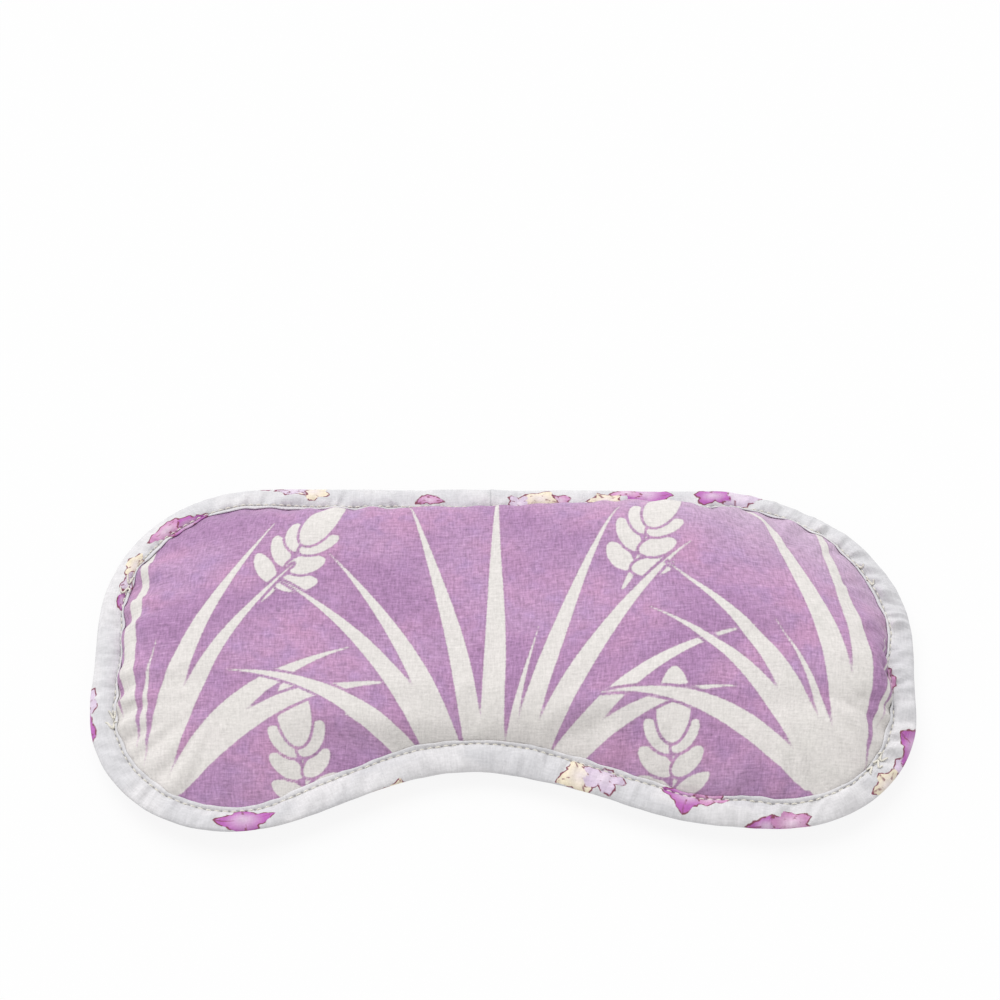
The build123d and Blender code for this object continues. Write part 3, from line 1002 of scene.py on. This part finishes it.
front_half, front_across = strip_side(front_fine, 1)
back_half, back_across = strip_side(back_fine, -1)
fold_place = smooth_line + outward * (BINDING_REACH * reach)[:, None]
fold_place[:, 2] = fold
sections = np.stack([*front_half, fold_place, *back_half[::-1]], 1)
fold_across = np.full(len(station), STRIP_WIDTH / 2)
across = np.stack([*front_across, fold_across, *[STRIP_WIDTH - a for a in back_across[::-1]]], 1)
finer = spline_weights(sections.shape[1], sections.shape[1] * 2 - 1)
sections = np.einsum("ab,kbc->kac", finer, sections)
across = across @ finer.T
sections[..., 2] = np.maximum(sections[..., 2], FLOOR_GAP)

# Printed petals and leaves on the strip, a generic scatter in small clusters
TINTS = [(246, 234, 208), (222, 204, 226), (190, 106, 186), (214, 152, 198)]
PALE = (238, 226, 236)  # a petal fades toward its middle
BAND_LAYER = 7.0
# where the needle holes lie across the strip, and how strong their painted shade is
HOLE_PLACE, HOLE_SHADE_STRENGTH = 0.15, 0.9
CLUSTER_STEP = (15.0, 34.0)
PETAL_STEP = 6.0
LARGEST_PETAL = 7.0


def scattered_patches():
    """Patches as (distance along the strip, across it, half length, half width, lobes, tint)."""
    draw = random.Random(23)
    patches = []
    place = 0.0
    while place < SEAM_LENGTH:
        across = draw.uniform(0, STRIP_WIDTH)
        tint = draw.randrange(len(TINTS))
        for petal in range(draw.choice((1, 2, 2, 3))):
            half = LARGEST_PETAL * draw.uniform(0.45, 1.0)
            patches.append((place + PETAL_STEP * petal, across + draw.uniform(-2.5, 2.5), half,
                            half * draw.uniform(0.45, 0.8), draw.choice((3, 4, 5)),
                            TINTS[(tint + petal) % len(TINTS)]))
        place += draw.uniform(*CLUSTER_STEP)
    return patches


def motif_fields(along, across):
    """Signed distance to the nearest patch's edge, negative inside, its tint, and distance to its veins."""
    edge = np.full(along.shape, FAR)
    nearest = np.full(along.shape, FAR)
    vein = np.full(along.shape, FAR)
    tint = np.ones(along.shape + (3,))
    for number, (s, c, half_long, half_wide, lobes, look) in enumerate(scattered_patches()):
        x, y = (along - s) / half_long, (across - c) / half_wide
        turn, far = np.arctan2(y, x), np.hypot(x, y)
        size = min(half_long, half_wide)
        cusp = np.abs(np.sin(lobes * turn / 2 + number))
        teeth = 0.10 * np.abs(np.sin((3 * lobes + 1) * turn / 2 + 2 * number))
        leaf = number % 2
        rim = (1.25 - 0.45 * cusp if leaf else 0.72 + 0.40 * cusp) - teeth
        distance = (far - rim) * size
        inside = distance < 0
        edge = np.where(inside, distance, np.sign(edge) * np.minimum(np.abs(edge), distance))
        vein = np.where(inside, np.where(far > 0.3, cusp * far * size * 2 / lobes, FAR), vein)
        closer = inside | (distance < nearest)
        full = np.clip(0.3 + 0.9 * far, 0, 1)[..., None]
        tint[closer] = (full * seen(look)[:3] + (1 - full) * seen(PALE)[:3])[closer]
        nearest = np.where(inside, 0, np.minimum(nearest, distance))
    return edge, tint, vein


along = np.broadcast_to(past_lap[:, None], across.shape)
motif_edge, motif_tint, motif_vein = motif_fields(along, across)
# painted shade darkens the cloth where the needle holes are, just outside the stitch line
hole_along = ((station / stitch_pitch + 0.5) % 1 - 0.5)[:, None] * stitch_pitch
hole_across = np.minimum(np.abs(across - HOLE_PLACE), np.abs(across - STRIP_WIDTH + HOLE_PLACE))
stitch_hole_shade = HOLE_SHADE_STRENGTH * near(hole_along, 0, 0.5) * near(hole_across, 0, 0.45)
band = np.dstack([along, across, np.full(along.shape, BAND_LAYER)])
points, faces = loop_mesh(sections)
attributes = {
    "band": band.reshape(-1, 3),
    "motif_edge": motif_edge.ravel(),
    "motif_tint": motif_tint.reshape(-1, 3),
    "motif_vein": motif_vein.ravel(),
    "stitch_hole_shade": stitch_hole_shade.ravel(),
}
binding = make_piece("binding", points, faces, binding_cotton("binding_cotton"), "edge_binding",
                     attributes)

# ---- Threads ----
THREAD_SIDES = 8
STITCH_STATIONS = 9


def thread_mesh(paths, radius):
    """Round threads along open paths, with closed ends. Returns points, faces and thread coordinates."""
    points, faces, coordinates = [], [], []
    angles = np.arange(THREAD_SIDES) * 2 * math.pi / THREAD_SIDES
    for path in paths:
        first = len(points) * THREAD_SIDES
        tangent = unit(np.gradient(path, axis=0))
        side = unit(np.cross(tangent, [0, 0, 1.0]))
        lift = np.cross(side, tangent)
        taper = np.sin(np.linspace(0.25, math.pi - 0.25, len(path))) ** 0.35
        for k, far in enumerate(travelled(path)):
            spoke = np.cos(angles)[:, None] * side[k] + np.sin(angles)[:, None] * lift[k]
            points.append(path[k] + radius * taper[k] * spoke)
            coordinates.append(np.stack([np.full(THREAD_SIDES, far + first), angles, angles], 1))
        faces.extend(tube_faces(first, len(path), THREAD_SIDES))
    return np.vstack(points), faces, np.vstack(coordinates)


def make_thread(name, paths, radius, node):
    """A piece of sewing thread along the paths."""
    points, faces, coordinates = thread_mesh(paths, radius)
    make_piece(name, points, faces, ecru, node, {"thread": coordinates})


def stitch_paths(line, up):
    """A running line of stitches on a surface line: each dips into its two needle holes."""
    share = np.linspace(-0.5, 0.5, STITCH_STATIONS)
    paths = []
    for i in range(stitch_count):
        jitter = noise.noise(Vector((i * 0.37, 4.2, up))) * 0.18
        middle = (i + 0.5) * stitch_pitch
        path = on_line(line, seam_stations, middle + share * (STITCH_LENGTH + jitter))
        path[:, 2] += up * (0.14 - 0.55 * (2 * share) ** 4)
        path[:, :2] += jitter * on_line(outward, seam_stations, middle)[:2] * share[:, None]
        paths.append(path)
    return paths


# the stitch line runs along the strip's front and back surface, just outside the hem
front_line = sections[:, 2 * len(HEM_PROFILE) - 1]
back_line = sections[:, -2 * len(HEM_PROFILE)]
ecru = sewing_thread("ecru_thread", seen(ECRU))
make_thread("needle_thread", stitch_paths(front_line, 1), THREAD / 2, "needle_thread_stitches")
make_thread("bobbin_thread", stitch_paths(back_line, -1), THREAD / 2, "bobbin_thread_stitches")

# ---- Hand tacks: thick uneven threads across the binding near the two ends ----
# the outline's circle that a group sits on, and each tack's angle about its centre in degrees
HAND_TACKS = [(3, (-42, -37, -33)), (4, (24, 31)), (5, (164, 170)), (0, (187, 193))]
TACK_RADIUS = 0.3
TACK_START = -1.3  # on the hem, inside the stitch line
TACK_REACH = (1.8, 4.2)  # how far the tacks run out over the strip
hem_columns = 2 * len(HEM_PROFILE)
fold_column = across.shape[1] // 2
tack_draw = random.Random(7)
tack_paths = []
for circle, angles in HAND_TACKS:
    x, y, radius = MASK_CIRCLES[circle]
    for angle in map(math.radians, angles):
        spot = (x + radius * math.cos(angle), y + radius * math.sin(angle))
        row = int(np.argmin(np.hypot(*(SEAM_LINE[:, :2] - spot).T)))
        place = np.linspace(TACK_START, tack_draw.uniform(*TACK_REACH), 11)
        bow = 2.5 * np.sin(place * 1.7 + tack_draw.uniform(0, 6))
        rows = (row + np.round(bow).astype(int)) % len(station)
        cells = slice(hem_columns - 6, fold_column)
        path = np.array([[np.interp(p, across[r, cells], sections[r, cells, k]) for k in range(3)]
                         for p, r in zip(place, rows)])
        path[:, 2] += 0.25
        tack_paths.append(spline_weights(len(path), 41) @ path)
make_thread("hand_tacks", tack_paths, TACK_RADIUS, "hand_tack_stitches")

# ---- Inner pouch and filling, which the covers hide ----
POUCH_DEPTH = 0.9
POUCH_LAYER = 60.0
MUSLIN = 0.25
POUCH_STITCH_ROW = 7  # row of the covers' fine grid that the pouch's stitches follow
POUCH_STITCH_PITCH = 2.6
FILL_DEPTH, FILL_BACK_DEPTH = 3.5, 1.5
BUD_DEPTH = 2.35
BUD_LENGTH, BUD_WIDTH = 5.0, 2.0
BUD_SPACING = 7.0
BUD_TWIST = math.radians(137.5)
BUD_STATIONS, BUD_SIDES, BUD_RIBS = 9, 20, 5
BUD_ROWS, BUD_COLUMNS = 4, 16  # of their grid, each side of the middle; it reaches past the filling
BUD_FLOOR = 17.0  # they lie only where the front cover is at least this high


def every_third(first, size):
    """Rows of a fine grid from first to its mirror image, an odd number of them about three apart."""
    return np.linspace(first, size - 1 - first, size // 6 * 2 + 1).round().astype(int)


def inner_ring(rows, shape):
    """Rows and columns of the closed ring of grid cells that lies some rows inside the edge."""
    along, across = ring_cells((shape[0] - 2 * rows, shape[1] - 2 * rows))
    return along + rows, across + rows


def closed_body(top, bottom):
    """A solid between two grids that meet at their edges."""
    upper = np.arange(top[..., 0].size).reshape(top.shape[:2])
    inside = np.zeros(upper.shape, bool)
    inside[1:-1, 1:-1] = True
    lower = upper.copy()
    lower[inside] = upper.size + np.arange(inside.sum())
    return np.vstack([top.reshape(-1, 3), bottom[inside]]), [*quads(upper), *quads(lower)[:, ::-1]]


def bud_mesh(centre, along, up):
    """One ribbed bud, pointed at both ends."""
    side = np.cross(up, along)
    turn = np.arange(BUD_SIDES) * 2 * math.pi / BUD_SIDES
    rib = 1 + 0.09 * np.cos(BUD_RIBS * turn)
    rings = []
    for t in np.linspace(-0.5, 0.5, BUD_STATIONS):
        radius = BUD_WIDTH / 2 * (0.12 + 0.80 * math.cos(math.pi * t) ** 0.7 * (1 - 0.25 * t))
        disc = np.cos(turn)[:, None] * side + np.sin(turn)[:, None] * up
        rings.append(centre + along * BUD_LENGTH * t + disc * (radius * rib)[:, None])
    return np.vstack(rings), [face[::-1] for face in tube_faces(0, BUD_STATIONS, BUD_SIDES)]


pouch_cloth = muslin("pouch_muslin")
long_rows, wide_rows = (np.r_[5, 9, every_third(13, n), n - 10, n - 6] for n in front_fine.shape[:2])
chosen = np.ix_(long_rows, wide_rows)
for name, node, grid, up in (
    ("pouch_front", "pouch_front_panel", front_fine, 1),
    ("pouch_back", "pouch_back_panel", back_fine, -1),
):
    sheet = (grid - up * POUCH_DEPTH * normals_of(grid))[chosen]
    flange = np.ones(sheet.shape[:2], bool)
    flange[2:-2, 2:-2] = False
    sheet[flange, :2] = pattern[chosen][flange]
    sheet[flange, 2] = seam_fine[chosen][flange] + up * (0.02 + MUSLIN)
    points, faces = panel_mesh(sheet, -up, MUSLIN)
    weave_place = np.dstack([pattern[chosen], np.full(sheet.shape[:2], POUCH_LAYER * up)])
    pouch = make_piece(name, points, faces, pouch_cloth, node,
                       {"pattern": with_inner(weave_place)})

row_cells = inner_ring(POUCH_STITCH_ROW, pattern.shape)
row_line = np.column_stack([pattern[row_cells], seam_fine[row_cells]])
row_stations = travelled(closed(row_line))
share = np.linspace(-1.0, 1.0, STITCH_STATIONS)
bow = 0.34 - 0.3 * share**4
pouch_paths = []
for middle in np.arange(0, row_stations[-1] - POUCH_STITCH_PITCH / 2, POUCH_STITCH_PITCH):
    path = on_line(row_line, row_stations, middle + share)
    pouch_paths.extend(path + np.outer(bow * up, (0, 0, 1)) for up in (1, -1))
make_thread("pouch_thread", pouch_paths, THREAD / 2, "pouch_seam_stitches")

chosen = np.ix_(*(every_third(12, n) for n in front_fine.shape[:2]))
top = (front_fine - FILL_DEPTH * normals_of(front_fine))[chosen]
bottom = (back_fine + FILL_BACK_DEPTH * normals_of(back_fine))[chosen]
rim = ring_cells(top.shape)
top[rim] = bottom[rim] = (top[rim] + bottom[rim]) / 2
points, faces = closed_body(top, bottom)
seeds = make_piece("seed_fill", points, faces, flaxseed("flaxseed"), "flaxseed_fill",
                   {"pattern": points})

front_tree = surface_tree(front_fine)
bud_points, bud_faces = [], []
for row in range(-BUD_ROWS, BUD_ROWS + 1):
    for column in range(-BUD_COLUMNS, BUD_COLUMNS + 1):
        x = (column + (row % 2) / 2) * BUD_SPACING
        y = row * BUD_SPACING
        place, normal, _, _ = front_tree.ray_cast(Vector((x, y, ABOVE)), Vector((0, 0, -1)))
        if place is None or place.z < BUD_FLOOR:
            continue
        up = np.array(normal)
        angle = BUD_TWIST * len(bud_points)
        along_bud = np.array([math.cos(angle), math.sin(angle), 0])
        along_bud = unit(along_bud - up * (along_bud @ up))
        one, one_faces = bud_mesh(np.array(place) - up * BUD_DEPTH, along_bud, up)
        first = len(bud_points) * len(one)
        bud_points.append(one)
        bud_faces.extend(face + first for face in one_faces)
points = np.vstack(bud_points)
make_piece("buds", points, bud_faces, lavender("lavender"), "lavender_buds",
           {"pattern": points})

# ---- Camera, light and floor ----
CAMERA_LENS = 85.0
SKY_STRENGTH = 0.83
SUN_STRENGTH = 2.05
SUN_SPREAD = math.radians(50)
SUN_FROM = (-0.28, 0.50, 0.84)
FLOOR_SIZE = 3.0  # metres each way from the middle
FLOOR_GLOW = 0.87  # a light table's glow, which keeps the shadows faint
FLOOR_ALBEDO = 0.09
CAMERA_ELEVATION = math.radians(56)
CAMERA_DISTANCE = 652 * MM
CAMERA_AIM = Vector((-0.95, -2.85, 6.0)) * MM
CAMERA_TILT = math.atan(161 / 500 * 18 / CAMERA_LENS)  # the object lies below the picture's middle

camera = bpy.data.objects.new("camera", bpy.data.cameras.new("camera"))
camera.data.lens = CAMERA_LENS
back_off = Vector((0, -math.cos(CAMERA_ELEVATION), math.sin(CAMERA_ELEVATION)))
camera.location = CAMERA_AIM + back_off * CAMERA_DISTANCE
camera.rotation_euler = (math.pi / 2 - CAMERA_ELEVATION + CAMERA_TILT, 0, 0)
camera.data.clip_start = 0.01
bpy.context.scene.collection.objects.link(camera)
bpy.context.scene.camera = camera

world = bpy.data.worlds.new("studio")
world.use_nodes = True
world.node_tree.nodes["Background"].inputs["Color"].default_value = (1, 1, 1, 1)
world.node_tree.nodes["Background"].inputs["Strength"].default_value = SKY_STRENGTH
bpy.context.scene.world = world
bpy.context.scene.view_settings.view_transform = "Standard"

lamp = bpy.data.objects.new("key_light", bpy.data.lights.new("key_light", "SUN"))
lamp.data.energy = SUN_STRENGTH
lamp.data.angle = SUN_SPREAD
lamp.rotation_euler = Vector(SUN_FROM).to_track_quat("Z", "Y").to_euler()
bpy.context.scene.collection.objects.link(lamp)

floor_mesh = bpy.data.meshes.new("floor")
corners = [(FLOOR_SIZE * x, FLOOR_SIZE * y, 0) for x, y in ((-1, -1), (1, -1), (1, 1), (-1, 1))]
floor_mesh.from_pydata(corners, [], [(0, 1, 2, 3)])
floor = bpy.data.objects.new("floor", floor_mesh)
floor_shader = Shader("floor_white", roughness=0.9, specular=0.0)
floor_shader.colour((FLOOR_ALBEDO, FLOOR_ALBEDO, FLOOR_ALBEDO, 1.0))
floor_shader.bsdf.inputs["Emission Color"].default_value = (1, 1, 1, 1)
floor_shader.bsdf.inputs["Emission Strength"].default_value = FLOOR_GLOW
floor_mesh.materials.append(floor_shader.material)
bpy.context.scene.collection.objects.link(floor)
